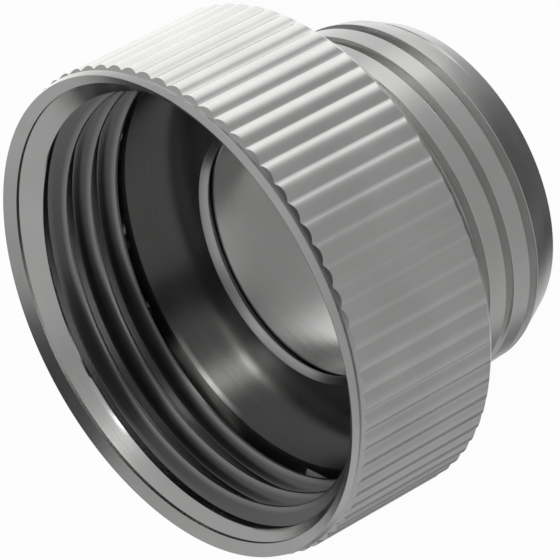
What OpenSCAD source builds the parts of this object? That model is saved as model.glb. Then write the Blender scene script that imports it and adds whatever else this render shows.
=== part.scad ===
// Reducing socket: a knurled collar with a female pipe thread, above a smaller male spigot.
// The origin is the centre of the spigot's end face, and the open mouth looks up along +Z.

/* [Female thread] */
// Minor diameter of the female thread, 3/4 inch pipe
socket_minor_d = 24.6; // [22:0.1:28]
// Depth of the socket, from the mouth face to the gasket shoulder
socket_depth = 9; // [6.5:0.1:10]
// Width of the lead-in bevel above the thread, measured along the radius
bevel_w = 1.3; // [0.8:0.05:1.4]
// Depth of the lead-in bevel along the axis
bevel_h = 1.7; // [1.2:0.1:2.4]
// Width of the mouth chamfer between bevel and rim, measured along the radius
mouth_chamfer_w = 0.6; // [0.4:0.05:0.8]
// Depth of the mouth chamfer along the axis
mouth_chamfer_h = 0.45; // [0.35:0.05:0.6]

/* [Collar] */
// Width of the rim, from the mouth chamfer out to the crests of the knurl
rim_w = 0.3; // [0.3:0.05:2]
// Length of the collar, from its mouth face to its rear face
collar_h = 10.5; // [9:0.1:18]
// Step from the crests in to the smooth lip, measured along the radius
lip_step = 0.15; // [0.05:0.05:0.15]
// Length of the smooth lip
lip_h = 0.3; // [0.25:0.05:0.8]
// Rounding of the lip's outer edge
lip_round = 0.1; // [0.05:0.05:0.1]
// Depth of the fine groove behind the lip, below the crests
relief_depth = 0.35; // [0.3:0.05:0.5]
// Width of the flat floor of that groove
relief_w = 0.25; // [0.05:0.05:0.4]
// Depth of the rear chamfer, measured along the radius
rear_chamfer_r = 0.55; // [0.3:0.05:0.9]
// Length of the rear chamfer, measured along the axis
rear_chamfer_h = 0.6; // [0.3:0.1:1]

/* [Knurl] */
// Number of straight ribs round the collar
rib_count = 72; // [60:1:76]
// Share of the pitch that a rib's rounded crest takes up
rib_share = 0.92; // [0.7:0.02:0.96]
// Angle of a rib's flank at the floor of the grooves, from the crest
flank_angle = 38; // [25:1:45]
// Length over which the ribs fall away behind the lip
rib_fade = 0.3; // [0.2:0.05:1.2]

/* [Male thread] */
// Major diameter of the male thread, 1/2 inch pipe
spigot_major_d = 20.955; // [19.5:0.005:22]
// Length of the spigot below the collar
spigot_l = 9.1; // [7:0.1:16]
// Depth of the end chamfer, measured along the radius
end_chamfer_r = 0.95; // [0.6:0.05:1.4]
// Length of the end chamfer, measured along the axis
end_chamfer_h = 2; // [0.8:0.1:2.4]

/* [Waterway] */
// Diameter of the bore that runs through the spigot
bore_d = 15.1; // [12:0.1:16]
// Width of the chamfer where the bore meets the gasket shoulder
seat_chamfer = 0.35; // [0.1:0.05:0.6]
// Width of the chamfer where the bore leaves the spigot
outlet_chamfer = 0.3; // [0.1:0.05:0.6]

/* [Hidden] */
$fn = 96;
// Margin by which a cutter reaches past the face that it opens
over = 0.5;
// Height of the whole fitting, from the spigot's end to the mouth face
total_h = spigot_l + collar_h;
// Radius of the bore of the socket, at the crests of the female thread
socket_r = socket_minor_d / 2;
// Radius over the crests of the knurl
crest_r = socket_r + bevel_w + mouth_chamfer_w + rim_w;
// Radius at the floor of the fine groove behind the lip
relief_r = crest_r - relief_depth;
// Radius of a rib's rounded crest
rib_r = rib_share * PI * crest_r / (rib_count * sin(flank_angle));
// Radius of the circle that the centres of the rib crests lie on
rib_centre_r = crest_r - rib_r;
// Points that draw one rounded crest, less one
crest_steps = 6;
// Height of the gasket shoulder
seat_z = total_h - socket_depth;
// Height at which the ribs begin behind the lip
knurl_top_z = total_h - lip_h - relief_w;

// Outline of the knurl along the axis: rounded ribs with narrow floors between them, one floor facing +X
module knurl_outline() {
    polygon([
        for (i = [0:rib_count - 1], j = [0:crest_steps])
            let (turn = (i + 0.5) * 360 / rib_count, a = flank_angle * (2 * j / crest_steps - 1))
                rib_centre_r * [cos(turn), sin(turn)] + rib_r * [cos(turn + a), sin(turn + a)]
    ]);
}

// Half section of the space that the ribs may fill: rear chamfer, open side and sloping front ends
module rib_envelope_section() {
    rear_slope = rear_chamfer_h / rear_chamfer_r;
    front_slope = rib_fade / relief_depth;
    polygon([
        [0, spigot_l],
        [crest_r - rear_chamfer_r, spigot_l],
        [crest_r + over, spigot_l + rear_chamfer_h + over * rear_slope],
        [crest_r + over, knurl_top_z - rib_fade - over * front_slope],
        [relief_r - over, knurl_top_z + over * front_slope],
        [0, knurl_top_z + over * front_slope]
    ]);
}

module knurl() {
    intersection() {
        translate([0, 0, spigot_l - over]) linear_extrude(collar_h + over) knurl_outline();
        rotate_extrude() rib_envelope_section();
    }
}

// Half section of the collar's front: fine groove and rounded lip
module lip_section() {
    lip_r = crest_r - lip_step;
    difference() {
        polygon([
            [0, seat_z],
            [relief_r, seat_z],
            [relief_r, total_h - lip_h],
            [lip_r, total_h - lip_h],
            [lip_r, total_h],
            [0, total_h]
        ]);
        // Corner that the rounding of the lip takes away
        difference() {
            translate([lip_r - lip_round, total_h - lip_round]) square(lip_round + over);
            translate([lip_r - lip_round, total_h - lip_round]) circle(lip_round);
        }
    }
}

// Half section of the spigot: end chamfer and thread crests
module spigot_section() {
    major_r = spigot_major_d / 2;
    polygon([
        [0, 0],
        [major_r - end_chamfer_r, 0],
        [major_r, end_chamfer_h],
        [major_r, spigot_l + over],
        [0, spigot_l + over]
    ]);
}

// Everything that is bored out: mouth chamfer, bevel, socket, seat chamfer, waterway and outlet chamfer
module waterway_section() {
    bore_r = bore_d / 2;
    bevel_top_r = socket_r + bevel_w;
    bevel_top_z = total_h - mouth_chamfer_h;
    mouth_slope = mouth_chamfer_w / mouth_chamfer_h;
    polygon([
        [0, -over],
        [bore_r + outlet_chamfer + over, -over],
        [bore_r, outlet_chamfer],
        [bore_r, seat_z - seat_chamfer],
        [bore_r + seat_chamfer, seat_z],
        [socket_r, seat_z],
        [socket_r, bevel_top_z - bevel_h],
        [bevel_top_r, bevel_top_z],
        [bevel_top_r + mouth_chamfer_w + over * mouth_slope, total_h + over],
        [0, total_h + over]
    ]);
}

module reducing_socket() {
    color([0.62, 0.62, 0.61]) difference() {
        union() {
            knurl();
            rotate_extrude() lip_section();
            rotate_extrude() spigot_section();
        }
        rotate_extrude() waterway_section();
    }
}

reducing_socket();
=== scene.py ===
"""Looks of a knurled reducing socket: a turned, nickel-plated fitting on a pale floor.

Sizes are in metres. The fitting stands on its spigot end with its open mouth up +Z.
Angle a runs round the axis from -Y, where the camera is, towards -X.
"""

import math

import bmesh
import bpy
import numpy as np
from mathutils import Matrix, Vector


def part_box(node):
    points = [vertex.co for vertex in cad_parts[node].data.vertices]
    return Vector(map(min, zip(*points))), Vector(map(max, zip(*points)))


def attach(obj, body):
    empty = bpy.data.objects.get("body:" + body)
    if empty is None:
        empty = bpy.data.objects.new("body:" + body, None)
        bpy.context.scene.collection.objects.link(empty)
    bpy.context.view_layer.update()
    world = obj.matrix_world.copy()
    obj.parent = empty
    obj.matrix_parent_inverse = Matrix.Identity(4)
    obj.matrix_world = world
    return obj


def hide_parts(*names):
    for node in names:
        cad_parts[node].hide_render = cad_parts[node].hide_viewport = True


bl_info = {
    "name": "Reducing socket",
    "version": (1, 0, 0),
    "blender": (4, 5, 0),
    "location": "View3D > Sidebar > Fitting",
    "description": "Builds the turned body of a knurled reducing socket, its plating and its stage",
    "category": "Object",
}

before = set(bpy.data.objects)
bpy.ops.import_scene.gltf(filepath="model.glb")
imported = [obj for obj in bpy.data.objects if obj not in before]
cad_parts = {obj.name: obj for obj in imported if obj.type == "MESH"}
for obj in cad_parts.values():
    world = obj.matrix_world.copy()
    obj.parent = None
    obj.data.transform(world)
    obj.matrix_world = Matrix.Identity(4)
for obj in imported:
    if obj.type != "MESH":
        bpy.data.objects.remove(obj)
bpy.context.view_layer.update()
NODE = "reducing_socket"
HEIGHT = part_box(NODE)[1].z
MM = 0.001


def length(name, description, default):
    return bpy.props.FloatProperty(
        name=name, description=description, default=default * MM, unit="LENGTH", precision=5
    )


def number(name, description, default, **limits):
    return bpy.props.FloatProperty(name=name, description=description, default=default, **limits)


def angle(name, description, default):
    return bpy.props.FloatProperty(
        name=name, description=description, default=math.radians(default), subtype="ANGLE"
    )


def tint(name, description, default):
    return bpy.props.FloatVectorProperty(
        name=name, description=description, default=default, subtype="COLOR", min=0, max=1
    )


class BodySizes(bpy.types.PropertyGroup):
    """Sizes of the turned body and of its two threads."""

    crest_r: length("Crest radius", "Radius over the crests of the knurl", 14.5)
    spigot_l: length("Spigot length", "Length of the spigot below the collar", 9.1)
    lip_step: length("Lip step", "Step from the crests in to the smooth lip", 0.15)
    lip_h: length("Lip height", "Length of the smooth lip", 0.4)
    lip_round: length("Lip rounding", "Radius of the rounding at the lip's edge", 0.03)
    relief_depth: length("Relief depth", "Depth of the fine groove behind the lip", 0.35)
    relief_w: length("Relief width", "Width of the floor of that groove", 0.2)
    rear_r: length("Rear chamfer depth", "Depth of the rear chamfer along the radius", 0.55)
    rear_h: length("Rear chamfer length", "Length of the rear chamfer along the axis", 0.6)
    ribs: bpy.props.IntProperty(name="Ribs", description="Number of straight ribs", default=72)
    crest_steps: bpy.props.IntProperty(
        name="Crest steps", description="Straight steps that draw one rounded crest", default=6
    )
    rib_share: number("Rib share", "Share of the pitch that a rib takes up", 0.92, min=0.5, max=1)
    flank: angle("Rib flank", "Angle of a rib's flank at the floor of the grooves", 34)
    rib_fade: length("Rib fade", "Length over which the ribs fall away behind the lip", 0.25)
    socket_r: length("Socket radius", "Radius at the crests of the female thread", 12.3)
    socket_depth: length("Socket depth", "From the mouth face to the gasket shoulder", 9.0)
    bevel_w: length("Bevel width", "Width of the bevel above the thread", 1.3)
    bevel_h: length("Bevel depth", "Depth of the bevel along the axis", 1.7)
    mouth_w: length("Mouth chamfer width", "Width of the chamfer outside the bevel", 0.6)
    mouth_h: length("Mouth chamfer depth", "Depth of that chamfer along the axis", 0.45)
    mouth_step: length("Mouth step", "Height of the small step between chamfer and bevel", 0.2)
    spigot_r: length("Spigot radius", "Radius at the crests of the male thread", 10.4775)
    end_r: length("End chamfer depth", "Depth of the end chamfer along the radius", 0.95)
    end_h: length("End chamfer length", "Length of the end chamfer along the axis", 2.0)
    bore_r: length("Bore radius", "Radius of the waterway", 7.55)
    seat_chamfer: length("Seat chamfer", "Chamfer from the shoulder to the waterway", 0.35)
    outlet_chamfer: length("Outlet chamfer", "Chamfer at the waterway's outlet", 0.3)
    pitch: length("Pitch", "Pitch of both threads, 14 turns per inch", 1.814)
    male_depth: length("Male thread depth", "Depth of the male thread's groove", 0.5)
    male_crest: number("Male crest", "Share of the pitch that the male crest takes up", 0.68)
    male_root: number("Male root", "Share of the pitch that the male groove's floor takes up", 0.08)
    male_at: length("Male thread place", "Height of a male groove's middle on the near side", 4.456)
    male_fade: length("Male run-out", "Length over which the groove fades at the collar", 0.9)
    female_depth: length("Female thread depth", "Depth of the female thread's groove", 0.86)
    female_crest: number("Female crest", "Share of the pitch that the female crest takes up", 0.16)
    female_root: number("Female root", "Share of the pitch that the female groove's floor takes up", 0.3)
    female_at: length("Female thread place", "Height of a female crest's middle on the near side", 15.84)
    female_end: length("Female thread end", "Depth at which the female thread runs out", 7.35)
    female_fade: length("Female run-out", "Length over which that thread's groove fades", 0.15)


class Finish(bpy.types.PropertyGroup):
    """Satin nickel plating over turned brass, with shares of painted shade and one painted highlight."""

    nickel: tint("Nickel", "Colour of the plating", (0.62, 0.617, 0.61))
    # Painted shade: the socket's inner walls get a darker colour where shade falls in the recess.
    socket_shade: number("Socket", "Share of the colour left on the socket's walls in painted shade", 0.5, min=0)
    # Painted shade: the female thread's grooves get a darker colour still, where shade falls between the
    # crests.
    groove_shade: number("Thread groove", "Share of that left in the female thread's groove", 0.6, min=0)
    # Painted highlight: a lighter colour on a patch low in the socket stands in for a glint.
    painted_glint: number("Painted glint", "Share of that on a bright patch low in the socket", 2.4, min=0)
    # Painted shade: the waterway gets a slightly darker colour.
    bore: number("Bore", "Share of the colour left in the waterway", 0.82, min=0)
    # Painted shade: the fine groove under the seat chamfer gets a nearly black colour.
    seat_groove: number("Seat groove", "Share of that left in the fine seat groove", 0.2, min=0)
    # Painted shade: one side of the spigot gets a darker colour where its reflection is dim.
    dimmed: number("Dimmed side", "Share of the colour left on the spigot's worn side", 0.56, min=0)
    roughness: number("Roughness", "Roughness of the plating", 0.22, min=0, max=1)


class StageSizes(bpy.types.PropertyGroup):
    """Where the camera stands."""

    distance: length("Camera distance", "From the mouth's centre to the camera", 290.0)
    lens: number("Lens", "Focal length in millimetres over a 36 mm frame", 343.98)
    axis_tilt: angle("Tilt", "Angle between the view and the fitting's axis", 56.5655)
    axis_turn: angle("Turn", "Angle of the fitting's axis above level in the picture", 28.0936)
    mouth_right: length("Mouth right", "Mouth's centre to the right of the view's middle", -5.8226)
    mouth_down: length("Mouth down", "Mouth's centre below the view's middle", 2.1129)


# ---------------------------------------------------------------- turned body


# Rules that bend a ring into ribs or a thread, as a plain ring has them
PLAIN_RING = {
    "rib": 0.0,  # 1 where the ring follows the ribs
    "slide": 0.0,  # slope of the ribs' ends
    "lead": 0.0,  # 1 where the ring climbs by one pitch a turn
    "low": -1.0,  # where a climbing ring starts
    "high": 1.0,  # where a climbing ring ends
    "side": 0.0,  # 1 where the thread is cut from outside, -1 from inside
    "cut": 0.0,  # depth of the thread's groove
    "bevel_from": 0.0,  # height at which the thread's bevel starts
    "bevel_slope": 0.0,  # depth gained for each length below that height, negative above it
    "fade_from": -1.0,  # height at which the groove has run out
    "fade_over": 1.0,  # length over which it runs out, negative downwards
}
EDGE_STEPS = 2  # straight steps round the lip's edge
KNURL_BANDS = 5  # bands that part the knurl's length, for even shading
WATERWAY_BANDS = 4  # and the length of the waterway
CORNER_BAND = 1.0 * MM  # height of the plain band over the gasket shoulder
# Fine groove under the seat chamfer, in millimetres out from the bore and below the shoulder
SEAT_GROOVE = ((0.0, 0.85), (0.2, 0.75), (0.2, 0.5), (0.0, 0.4))
WELD = 1.5e-6  # points this near to each other become one
SPECK = 1e-7  # edges shorter than this are dissolved
CREASE = math.radians(28)  # edges that turn by more than this stay sharp


def row(r, z, **rules):
    """One ring of the body: its radius and height, and the rules that bend it."""
    return (r, z, {**PLAIN_RING, **rules})


def rounded(r, z, radius, steps):
    """Rings round an outer edge, from its top to its side. The rounding's centre is at r, z."""
    turns = (math.pi / 2 * (1 - i / steps) for i in range(steps + 1))
    return [row(r + radius * math.cos(t), z + radius * math.sin(t)) for t in turns]


def between(r, start, end, bands, **rules):
    """Rings that part a straight wall into even bands, without the rings at its two ends."""
    return [row(r, start + (end - start) * i / bands, **rules) for i in range(1, bands)]


def thread_profile(crest, root, soft, steps):
    """Places along one pitch and depths there, both as shares, from the start of a crest.

    Soft is the share of the pitch by which a crest's edge is eased, and steps draw a flank.
    """
    flank = (1 - crest - root) / 2
    rise = 2 * soft
    falling = [
        (crest + flank * i / steps, rise + (1 - 2 * rise) * i / steps) for i in range(steps + 1)
    ]
    middle = crest + flank + root / 2
    rising = [(2 * middle - place, depth) for place, depth in reversed(falling[1:])]
    floor = [(crest + flank + soft, 1), (2 * middle - crest - flank - soft, 1)]
    return [(0, rise), (soft, 0), (crest - soft, 0)] + falling + floor + rising


def thread_rows(profile, pitch, at, depth, low, high, **rules):
    """Rings of a thread from its low end up to its high end.

    They climb with the angle, so one pitch more is drawn.
    """
    rows = []
    first = math.floor((low - at) / pitch) - 1
    last = math.ceil((high - at) / pitch) + 1
    for turn in range(first, last + 1):
        for place, share in profile:
            z = at + (turn + place) * pitch
            if low <= z <= high + pitch:
                rows.append((z, share))
    ring = dict(lead=1.0, low=low, high=high, **rules)
    rows = [(low, 0.0)] + rows + [(high + pitch, 0.0)]
    return [(z, dict(ring, cut=depth * share)) for z, share in rows]


def body_rows(s):
    """The body's rings in order: lip, knurl, rear face, spigot, waterway, socket, mouth."""
    top = HEIGHT
    lip_r = s.crest_r - s.lip_step
    relief_r = s.crest_r - s.relief_depth
    mouth_r = s.socket_r + s.bevel_w + s.mouth_w
    bevel_top = top - s.mouth_h
    seat_z = top - s.socket_depth
    knurl_top = top - s.lip_h - s.relief_w
    front_slope = s.rib_fade / s.relief_depth
    rear_slope = s.rear_h / s.rear_r

    # Outside of the collar
    rows = rounded(mouth_r, top - s.lip_round, s.lip_round, EDGE_STEPS)
    rows += [row(lip_r, top - s.lip_h), row(relief_r, top - s.lip_h), row(relief_r, knurl_top)]
    front, rear = knurl_top - s.rib_fade, s.spigot_l + s.rear_h
    rows.append(row(s.crest_r, front, rib=1.0, slide=front_slope))
    rows += between(s.crest_r, front, rear, KNURL_BANDS, rib=1.0)
    rows.append(row(s.crest_r, rear, rib=1.0, slide=-rear_slope))
    rows.append(row(s.crest_r - s.rear_r, s.spigot_l))
    rows.append(row((s.crest_r + s.spigot_r) / 2, s.spigot_l))

    # Spigot, from the collar down to its end
    male_middle = s.male_crest + (1 - s.male_crest) / 2
    male = thread_rows(
        thread_profile(s.male_crest, s.male_root, soft=0.02, steps=1),
        s.pitch,
        s.male_at - male_middle * s.pitch,
        s.male_depth,
        0.0,
        s.spigot_l,
        side=1.0,
        bevel_from=s.end_h,
        bevel_slope=s.end_r / s.end_h,
        fade_from=s.spigot_l,
        fade_over=-s.male_fade,
    )
    rows += [row(s.spigot_r, z, **rules) for z, rules in reversed(male)]

    # Waterway and gasket shoulder
    rows += [row(s.bore_r + s.outlet_chamfer, 0.0), row(s.bore_r, s.outlet_chamfer)]
    rows += between(s.bore_r, 0.0, seat_z, WATERWAY_BANDS)
    rows += [row(s.bore_r + out * MM, seat_z - below * MM) for out, below in SEAT_GROOVE]
    rows += [row(s.bore_r, seat_z - s.seat_chamfer), row(s.bore_r + s.seat_chamfer, seat_z)]
    rows.append(row((s.bore_r + s.socket_r) / 2, seat_z))

    # Socket, from the shoulder up to the mouth
    rows += [row(s.socket_r, seat_z), row(s.socket_r, seat_z + CORNER_BAND)]
    thread_low = top - s.female_end
    female = thread_rows(
        thread_profile(s.female_crest, s.female_root, soft=0.04, steps=4),
        s.pitch,
        s.female_at - s.female_crest / 2 * s.pitch,
        s.female_depth,
        thread_low,
        bevel_top - s.mouth_step,
        side=-1.0,
        bevel_from=bevel_top - s.bevel_h,
        bevel_slope=-s.bevel_w / (s.bevel_h - s.mouth_step),
        fade_from=thread_low,
        fade_over=s.female_fade,
    )
    rows += [row(s.socket_r, z, **rules) for z, rules in female]
    rows += [row(s.socket_r + s.bevel_w, bevel_top), row(mouth_r, top)]
    return rows


def profile_mesh(rows):
    """A chain of points, one for each ring, that carries the rings' rules as attributes."""
    mesh = bpy.data.meshes.new("body_profile")
    points = [(r, 0.0, z) for r, z, rules in rows]
    mesh.from_pydata(points, [(i, i + 1) for i in range(len(points) - 1)], [])
    for name in PLAIN_RING:
        values = mesh.attributes.new(name, "FLOAT", "POINT")
        values.data.foreach_set("value", np.array([rules[name] for r, z, rules in rows], np.float32))
    return mesh


class Tree:
    """Short names for the nodes of one Geometry Nodes tree."""

    def __init__(self, name):
        self.tree = bpy.data.node_groups.new(name, "GeometryNodeTree")

    def socket(self, name, kind, side="INPUT"):
        return self.tree.interface.new_socket(name=name, in_out=side, socket_type=kind)

    def node(self, kind, inputs=(), **settings):
        node = self.tree.nodes.new(kind)
        for name, value in settings.items():
            setattr(node, name, value)
        for key, value in dict(inputs).items():
            self.give(node.inputs[key], value)
        return node

    def give(self, socket, value):
        if isinstance(value, bpy.types.NodeSocket):
            self.tree.links.new(value, socket)
        else:
            socket.default_value = value

    def math(self, operation, *values, clamp=False):
        node = self.node("ShaderNodeMath", enumerate(values), operation=operation, use_clamp=clamp)
        return node.outputs[0]

    def add(self, *values):
        total = values[0]
        for value in values[1:]:
            total = self.math("ADD", total, value)
        return total

    def less(self, a, b):
        return self.math("SUBTRACT", a, b)

    def times(self, a, b):
        return self.math("MULTIPLY", a, b)

    def over(self, a, b):
        return self.math("DIVIDE", a, b)


BODY_INPUTS = (
    ("Ribs", "NodeSocketInt"),
    ("Crest steps", "NodeSocketInt"),
    ("Crest radius", "NodeSocketFloat"),
    ("Rib radius", "NodeSocketFloat"),
    ("Rib flank", "NodeSocketFloat"),
    ("Pitch", "NodeSocketFloat"),
    ("Finish", "NodeSocketMaterial"),
)


def body_tree():
    """Turns the profile's points into rings, bends them into ribs and threads, and closes the skin."""
    t = Tree("turned_body")
    t.socket("Profile", "NodeSocketGeometry")
    for name, kind in BODY_INPUTS:
        t.socket(name, kind)
    t.socket("Body", "NodeSocketGeometry", "OUTPUT")
    given = t.node("NodeGroupInput").outputs
    profile = given["Profile"]

    per_rib = t.add(given["Crest steps"], 1.0)
    columns = t.times(given["Ribs"], per_rib)
    rings = t.node("GeometryNodeAttributeDomainSize", {"Geometry": profile}, component="MESH")
    rings = rings.outputs["Point Count"]
    grid = t.node(
        "GeometryNodeMeshGrid",
        {"Size X": 1.0, "Size Y": 1.0, "Vertices X": t.add(columns, 1.0), "Vertices Y": rings},
    )
    place = t.node("ShaderNodeSeparateXYZ", {0: t.node("GeometryNodeInputPosition").outputs[0]})
    column = t.math("ROUND", t.times(t.add(place.outputs[0], 0.5), columns))
    ring = t.math("ROUND", t.times(t.add(place.outputs[1], 0.5), t.less(rings, 1.0)))

    def sampled(value, kind):
        node = t.node(
            "GeometryNodeSampleIndex",
            {"Geometry": profile, "Index": ring, "Value": value},
            data_type=kind,
            domain="POINT",
        )
        return node.outputs[0]

    def rule(name):
        node = t.node("GeometryNodeInputNamedAttribute", {"Name": name}, data_type="FLOAT")
        return sampled(node.outputs["Attribute"], "FLOAT")

    point = sampled(t.node("GeometryNodeInputPosition").outputs[0], "FLOAT_VECTOR")
    point = t.node("ShaderNodeSeparateXYZ", {0: point})
    r, z = point.outputs[0], point.outputs[2]

    # Place of this column on its rib's rounded crest
    rib = t.math("FLOOR", t.over(t.add(column, 0.5), per_rib))
    step = t.less(column, t.times(rib, per_rib))
    lean = t.less(t.over(t.times(step, 2.0), given["Crest steps"]), 1.0)
    lean = t.times(lean, given["Rib flank"])
    out = t.add(
        t.less(given["Crest radius"], given["Rib radius"]),
        t.times(given["Rib radius"], t.math("COSINE", lean)),
    )
    across = t.times(given["Rib radius"], t.math("SINE", lean))
    rib_r = t.math("SQRT", t.add(t.times(out, out), t.times(across, across)))
    turn = t.over(t.times(t.add(rib, 0.5), math.tau), given["Ribs"])
    turn = t.add(turn, t.math("ARCTAN2", across, out))

    # Thread: the ring climbs with the angle and stays between its two ends
    climb = t.times(rule("lead"), t.over(t.times(turn, given["Pitch"]), math.tau))
    z = t.math("MAXIMUM", rule("low"), t.math("MINIMUM", rule("high"), t.less(z, climb)))
    fade = t.math("DIVIDE", t.less(z, rule("fade_from")), rule("fade_over"), clamp=True)
    bevel = t.times(rule("bevel_slope"), t.less(rule("bevel_from"), z))
    depth = t.math("MAXIMUM", t.times(rule("cut"), fade), t.math("MAXIMUM", bevel, 0.0))
    r = t.less(r, t.times(rule("side"), depth))

    # Ribs: the ring follows the crests, and slides along the sloping ends of the ribs
    ribbed = rule("rib")
    r = t.add(r, t.times(ribbed, t.less(rib_r, r)))
    drop = t.times(t.less(given["Crest radius"], rib_r), ribbed)
    z = t.add(z, t.times(rule("slide"), drop))

    x = t.times(t.math("SINE", turn), t.times(r, -1.0))
    y = t.times(t.math("COSINE", turn), t.times(r, -1.0))
    position = t.node("ShaderNodeCombineXYZ", {0: x, 1: y, 2: z}).outputs[0]
    body = t.node(
        "GeometryNodeSetPosition", {"Geometry": grid.outputs["Mesh"], "Position": position}
    )
    body = t.node("GeometryNodeMergeByDistance", {"Geometry": body.outputs[0], "Distance": WELD})
    body = t.node("GeometryNodeRealizeInstances", {"Geometry": body.outputs[0]})
    body = t.node(
        "GeometryNodeSetMaterial", {"Geometry": body.outputs[0], "Material": given["Finish"]}
    )
    t.node("NodeGroupOutput", {"Body": body.outputs[0]})
    return t.tree


def evaluated(mesh, name, tree, values):
    """Runs a tree on a mesh and returns the plain result as a new object at the origin."""
    source = bpy.data.objects.new(name + "_source", mesh)
    bpy.context.scene.collection.objects.link(source)
    modifier = source.modifiers.new("Shape", "NODES")
    modifier.node_group = tree
    for item in tree.interface.items_tree:
        if item.item_type == "SOCKET" and item.in_out == "INPUT" and item.name in values:
            modifier[item.identifier] = values[item.name]
    graph = bpy.context.evaluated_depsgraph_get()
    made = bpy.data.meshes.new_from_object(source.evaluated_get(graph), depsgraph=graph)
    bpy.data.objects.remove(source)
    made.name = name
    piece = bpy.data.objects.new(name, made)
    bpy.context.scene.collection.objects.link(piece)
    return piece


def close_skin(piece):
    """Points the faces outwards, checks that the skin is closed, and marks the sharp edges."""
    skin = bmesh.new()
    skin.from_mesh(piece.data)
    bmesh.ops.dissolve_degenerate(skin, edges=skin.edges, dist=SPECK)
    bmesh.ops.recalc_face_normals(skin, faces=skin.faces)
    loose = [e for e in skin.edges if len(e.link_faces) != 2]
    if loose:
        raise RuntimeError(f"{piece.name} is open at {len(loose)} edges")
    if skin.calc_volume(signed=True) < 0:
        bmesh.ops.reverse_faces(skin, faces=skin.faces)
    skin.to_mesh(piece.data)
    skin.free()
    piece.data.shade_smooth()
    piece.data.set_sharp_from_angle(angle=CREASE)


# ------------------------------------------------------------------ plating


class Shader(Tree):
    """Short names for the shader nodes of one material or world."""

    def __init__(self, owner):
        owner.use_nodes = True
        self.tree = owner.node_tree
        self.tree.nodes.clear()

    def noise(self, vector, scale, detail):
        inputs = {"Vector": vector, "Scale": scale, "Detail": detail, "Roughness": 0.5}
        return self.node("ShaderNodeTexNoise", inputs).outputs["Fac"]

    def band(self, value, low, high, to_low=0.0, to_high=1.0):
        inputs = {0: value, 1: low, 2: high, 3: to_low, 4: to_high}
        return self.node("ShaderNodeMapRange", inputs).outputs[0]


CLOUD_SPREAD = (0.3, 0.7)  # values of a noise from which its ends are drawn
CLOUD_TINTS = (0.94, 1.04)  # shares of the colour at the dark and the light end of the clouds
ROUGHER = (-0.03, 0.04)  # change of roughness at the two ends
RING_BUMP, BROAD_BUMP, GRAIN_BUMP = 0.6, 0.8, 0.5  # shares of the three noises in the bump
BEVEL_LEAN = 0.8667  # radius that the bevel above the thread loses with depth
# Zones of painted shade, where the colour is darker, and one of painted highlight, where it is lighter:
# the share of the colour there, the zone that each lies within, and its edges, each a measure in
# millimetres where it starts and is full
ZONES = (
    # Painted shade on the socket's inner walls
    ("socket_shade", None, (("past bevel", 14.2, 14.32), ("down", 9.25, 8.95), ("r", 13.65, 13.5))),
    # Painted shade in the female thread's grooves
    ("groove_shade", "socket_shade", (("r", 12.36, 12.6),)),
    # Painted highlight on a patch low in the socket
    (
        "painted_glint",
        "socket_shade",
        (("down", 6.6, 6.8), ("down", 7.8, 7.6), ("y", 10.3, 10.9), ("x", -0.6, -1.8)),
    ),
    # Painted shade in the waterway
    ("bore", None, (("down", 8.95, 9.25), ("r", 8.6, 8.4))),
    # Painted shade in the fine seat groove
    ("seat_groove", "bore", (("r", 7.6, 7.66), ("down", 9.35, 9.4))),
    # Painted shade on one side of the spigot
    ("dimmed", None, (("down", 10.45, 10.6), ("r", 9.0, 9.2), ("x", 5.4, 7.8))),
)


def plating_left(m, finish, r, parts):
    """Share of the colour at each place, with every zone's painted shade and highlight taken in."""
    down = m.less(HEIGHT, parts[2])
    past_bevel = m.add(r, m.times(down, BEVEL_LEAN))
    measures = {"r": r, "down": down, "x": parts[0], "y": parts[1], "past bevel": past_bevel}
    zones = {}
    left = 1.0
    for name, within, edges in ZONES:
        inside = zones.get(within, 1.0)
        for measure, start, full in edges:
            inside = m.times(inside, m.band(measures[measure], start * MM, full * MM))
        zones[name] = inside
        left = m.times(left, m.less(1.0, m.times(inside, 1.0 - getattr(finish, name))))
    return left


def nickel_plating(finish):
    """Satin nickel over turned brass: fine lathe rings, soft clouds and grain, and zones of painted
    shade and a painted highlight.
    """
    material = bpy.data.materials.new("satin_nickel")
    m = Shader(material)
    place = m.node("ShaderNodeTexCoord").outputs["Object"]
    parts = m.node("ShaderNodeSeparateXYZ", {0: place}).outputs
    r = m.math("SQRT", m.add(m.times(parts[0], parts[0]), m.times(parts[1], parts[1])))
    lathe = m.node("ShaderNodeCombineXYZ", {0: r, 1: 0.0, 2: parts[2]}).outputs[0]
    rings = m.noise(lathe, scale=9000.0, detail=2.0)
    broad = m.noise(lathe, scale=1600.0, detail=3.0)
    clouds = m.noise(place, scale=260.0, detail=4.0)
    grain = m.noise(place, scale=5200.0, detail=2.0)
    height = m.add(
        m.times(rings, RING_BUMP), m.times(broad, BROAD_BUMP), m.times(grain, GRAIN_BUMP)
    )
    bump = m.node("ShaderNodeBump", {"Strength": 0.25, "Distance": 0.01 * MM, "Height": height})
    dark, light = (tuple(c * k for c in finish.nickel) + (1.0,) for k in CLOUD_TINTS)
    cloudy = m.band(clouds, *CLOUD_SPREAD)
    mix = m.node("ShaderNodeMix", {0: cloudy, 6: dark, 7: light}, data_type="RGBA")
    colour = m.node("ShaderNodeVectorMath", {0: mix.outputs[2]}, operation="SCALE")
    # The colour is scaled by the zones' painted shade and painted highlight.
    m.give(colour.inputs["Scale"], plating_left(m, finish, r, parts))
    smooth, rough = (finish.roughness + change for change in ROUGHER)
    both = m.add(m.times(clouds, 0.5), m.times(broad, 0.5))
    rough = m.band(both, *CLOUD_SPREAD, smooth, rough)
    shader = m.node(
        "ShaderNodeBsdfPrincipled",
        {
            "Base Color": colour.outputs[0],
            "Metallic": 1.0,
            "Roughness": rough,
            "Normal": bump.outputs[0],
        },
    )
    m.node("ShaderNodeOutputMaterial", {"Surface": shader.outputs[0]})
    return material


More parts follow.
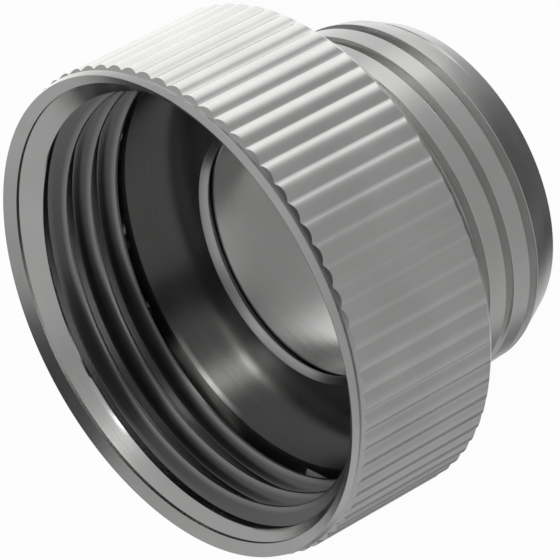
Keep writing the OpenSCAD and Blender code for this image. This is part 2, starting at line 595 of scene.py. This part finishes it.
FLOOR_HALF = 1.5  # half the width of the floor
WHITE = (1.0, 1.0, 1.0, 1.0)
FLOOR_PAINT = (0.86, 0.86, 0.86, 1.0)
FLOOR_GLOW = 1.03  # strength of the white that the camera sees
FLOOR_SEEN = 0.93  # share of that white over the paint, which keeps the shadow


def pale_floor():
    """White to the camera, where it keeps the fitting's shadow, and open to reflections."""
    material = bpy.data.materials.new("pale_floor")
    m = Shader(material)
    path = m.node("ShaderNodeLightPath").outputs
    paint = m.node("ShaderNodeBsdfDiffuse", {"Color": FLOOR_PAINT})
    glow = m.node("ShaderNodeEmission", {"Color": WHITE, "Strength": FLOOR_GLOW})
    seen = m.times(path["Is Camera Ray"], FLOOR_SEEN)
    mixed = m.node("ShaderNodeMixShader", {0: seen, 1: paint.outputs[0], 2: glow.outputs[0]})
    open_floor = m.node("ShaderNodeBsdfTransparent")
    mixed = m.node(
        "ShaderNodeMixShader",
        {0: path["Is Glossy Ray"], 1: mixed.outputs[0], 2: open_floor.outputs[0]},
    )
    m.node("ShaderNodeOutputMaterial", {"Surface": mixed.outputs[0]})
    return material


# -------------------------------------------------------------------- stage


SENSOR_WIDTH = 36  # of the camera, in millimetres
CLIP = (0.01, 10)  # nearest and furthest that the camera sees


def view_axes(stage):
    """The picture's right, down and away directions in the world, from the fitting's tilt and turn."""
    tilt, turn = stage.axis_tilt, stage.axis_turn
    across = math.sin(tilt)
    inward = Vector((math.cos(turn) * across, -math.sin(turn) * across, math.cos(tilt)))
    side = Vector((math.sin(turn), math.cos(turn), 0.0))
    near = side.cross(inward)
    return [Vector((-side[i], -near[i], -inward[i])) for i in range(3)]


def set_camera(stage):
    right, down, away = view_axes(stage)
    eye = Vector((0, 0, HEIGHT)) - away * stage.distance
    eye -= right * stage.mouth_right + down * stage.mouth_down
    data = bpy.data.cameras.new("view")
    data.sensor_width = SENSOR_WIDTH
    data.lens = stage.lens
    data.clip_start, data.clip_end = CLIP
    camera = bpy.data.objects.new("view", data)
    turned = Matrix((right, -down, -away)).transposed()
    camera.matrix_world = Matrix.Translation(eye) @ turned.to_4x4()
    bpy.context.scene.collection.objects.link(camera)
    bpy.context.scene.camera = camera


def towards(azimuth, elevation):
    """A direction from the fitting. Azimuth is from -Y towards -X, as angle a is."""
    a, e = math.radians(azimuth), math.radians(elevation)
    return Vector((-math.sin(a) * math.cos(e), -math.cos(a) * math.cos(e), math.sin(e)))


KEY_LAMP = {"azimuth": -41, "elevation": 38, "distance": 0.3, "size": 0.06, "radiance": 5.0}


def soft_lamp(name, azimuth, elevation, distance, size, radiance):
    """A square lamp that looks at the fitting."""
    direction = towards(azimuth, elevation)
    data = bpy.data.lights.new(name, "AREA")
    data.shape, data.size = "SQUARE", size
    data.energy = radiance * math.pi * size * size
    lamp = bpy.data.objects.new(name, data)
    lamp.matrix_world = Matrix.Translation(Vector((0, 0, HEIGHT / 2)) + direction * distance) @ (
        direction.to_track_quat("Z", "Y").to_matrix().to_4x4()
    )
    bpy.context.scene.collection.objects.link(lamp)


ROOM_LIGHT = 0.5
ROOM_DARKEST = 0.05
# Soft patches of the room, with angles in degrees: name, azimuth, elevation, full within, gone
# beyond, light added, and the elevations at which a strip starts, is full, stays full and ends
ROOM_PATCHES = (
    ("window on the right", -128, -33, 28, 74, 0.88, (-64, -50, -26, -10)),
    ("pale wall on the left", 108, -33, 15, 48, 0.05, None),
    ("shaded table", 35, -38, 30, 70, -0.1, None),
    ("shade behind on the left", 154, -40, 15, 38, -0.33, None),
    ("shade under the fitting", 64, -80, 14, 40, -0.3, None),
    ("camera", 10, 34, 7, 14, -0.44, None),
    ("dark ceiling", -6, 76, 13, 26, -0.43, None),
    ("dark back of the ceiling", 180, 66, 25, 42, -0.42, None),
)


def set_world():
    """A pale room with soft light and dark patches, which the metal mirrors."""
    world = bpy.data.worlds.new("room")
    bpy.context.scene.world = world
    m = Shader(world)
    place = m.node("ShaderNodeTexCoord").outputs["Generated"]
    height = m.node("ShaderNodeSeparateXYZ", {0: place}).outputs[2]
    level = ROOM_LIGHT
    for name, azimuth, elevation, within, beyond, light, strip in ROOM_PATCHES:
        centre = tuple(towards(azimuth, elevation))
        facing = m.node(
            "ShaderNodeVectorMath", {0: place, 1: centre}, operation="DOT_PRODUCT", label=name
        )
        edges = (math.cos(math.radians(limit)) for limit in (beyond, within))
        patch = m.node(
            "ShaderNodeMapRange",
            dict(enumerate((facing.outputs["Value"], *edges, 0.0, light))),
            interpolation_type="SMOOTHSTEP",
        )
        patch = patch.outputs[0]
        if strip:
            start, full, stays, ends = (math.sin(math.radians(limit)) for limit in strip)
            patch = m.times(patch, m.band(height, start, full))
            patch = m.times(patch, m.band(height, ends, stays))
        level = m.add(level, patch)
    level = m.math("MAXIMUM", level, ROOM_DARKEST)
    camera = m.node("ShaderNodeLightPath").outputs["Is Camera Ray"]
    glow = m.node("ShaderNodeBackground", {"Color": WHITE})
    level = m.add(m.times(level, m.less(1.0, camera)), camera)
    m.give(glow.inputs["Strength"], level)
    m.node("ShaderNodeOutputWorld", {"Surface": glow.outputs[0]})


# ---------------------------------------------------------------- operators


class MakeBody(bpy.types.Operator):
    """Make the turned body with its knurl and both threads"""

    bl_idname = "fitting.make_body"
    bl_label = "Make the turned body"

    def execute(self, context):
        s = context.scene.fitting_body
        half_rib = s.rib_share * math.pi * s.crest_r / s.ribs
        values = {
            "Ribs": s.ribs,
            "Crest steps": s.crest_steps,
            "Crest radius": s.crest_r,
            "Rib radius": half_rib / math.sin(s.flank),
            "Rib flank": s.flank,
            "Pitch": s.pitch,
            "Finish": nickel_plating(context.scene.fitting_finish),
        }
        body = evaluated(profile_mesh(body_rows(s)), "socket_body", body_tree(), values)
        close_skin(body)
        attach(body, "root")
        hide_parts(NODE)
        return {"FINISHED"}


class SetStage(bpy.types.Operator):
    """Set the floor, the lamp, the room and the camera"""

    bl_idname = "fitting.set_stage"
    bl_label = "Set the stage"

    def execute(self, context):
        stage = context.scene.fitting_stage
        mesh = bpy.data.meshes.new("floor")
        signs = ((-1, -1), (1, -1), (1, 1), (-1, 1))
        corners = [(x * FLOOR_HALF, y * FLOOR_HALF, 0) for x, y in signs]
        mesh.from_pydata(corners, [], [(0, 1, 2, 3)])
        mesh.materials.append(pale_floor())
        floor = bpy.data.objects.new("floor", mesh)
        context.scene.collection.objects.link(floor)
        set_camera(stage)
        set_world()
        soft_lamp("key_lamp", **KEY_LAMP)
        context.scene.view_settings.view_transform = "Standard"
        return {"FINISHED"}


class FittingPanel(bpy.types.Panel):
    """Sizes and finish of the fitting, and the buttons that make it."""

    bl_idname = "VIEW3D_PT_fitting"
    bl_label = "Reducing socket"
    bl_space_type = "VIEW_3D"
    bl_region_type = "UI"
    bl_category = "Fitting"

    def draw(self, context):
        scene = context.scene
        for group in (scene.fitting_body, scene.fitting_finish, scene.fitting_stage):
            box = self.layout.box()
            for name in group.__annotations__:
                box.prop(group, name)
        for operator in (MakeBody, SetStage):
            self.layout.operator(operator.bl_idname)


CLASSES = (BodySizes, Finish, StageSizes, MakeBody, SetStage, FittingPanel)


def register():
    for made in CLASSES:
        bpy.utils.register_class(made)
    bpy.types.Scene.fitting_body = bpy.props.PointerProperty(type=BodySizes)
    bpy.types.Scene.fitting_finish = bpy.props.PointerProperty(type=Finish)
    bpy.types.Scene.fitting_stage = bpy.props.PointerProperty(type=StageSizes)


def unregister():
    for name in ("fitting_stage", "fitting_finish", "fitting_body"):
        delattr(bpy.types.Scene, name)
    for made in reversed(CLASSES):
        bpy.utils.unregister_class(made)


def main():
    register()
    bpy.ops.fitting.make_body()
    bpy.ops.fitting.set_stage()


if __name__ == "__main__":
    main()
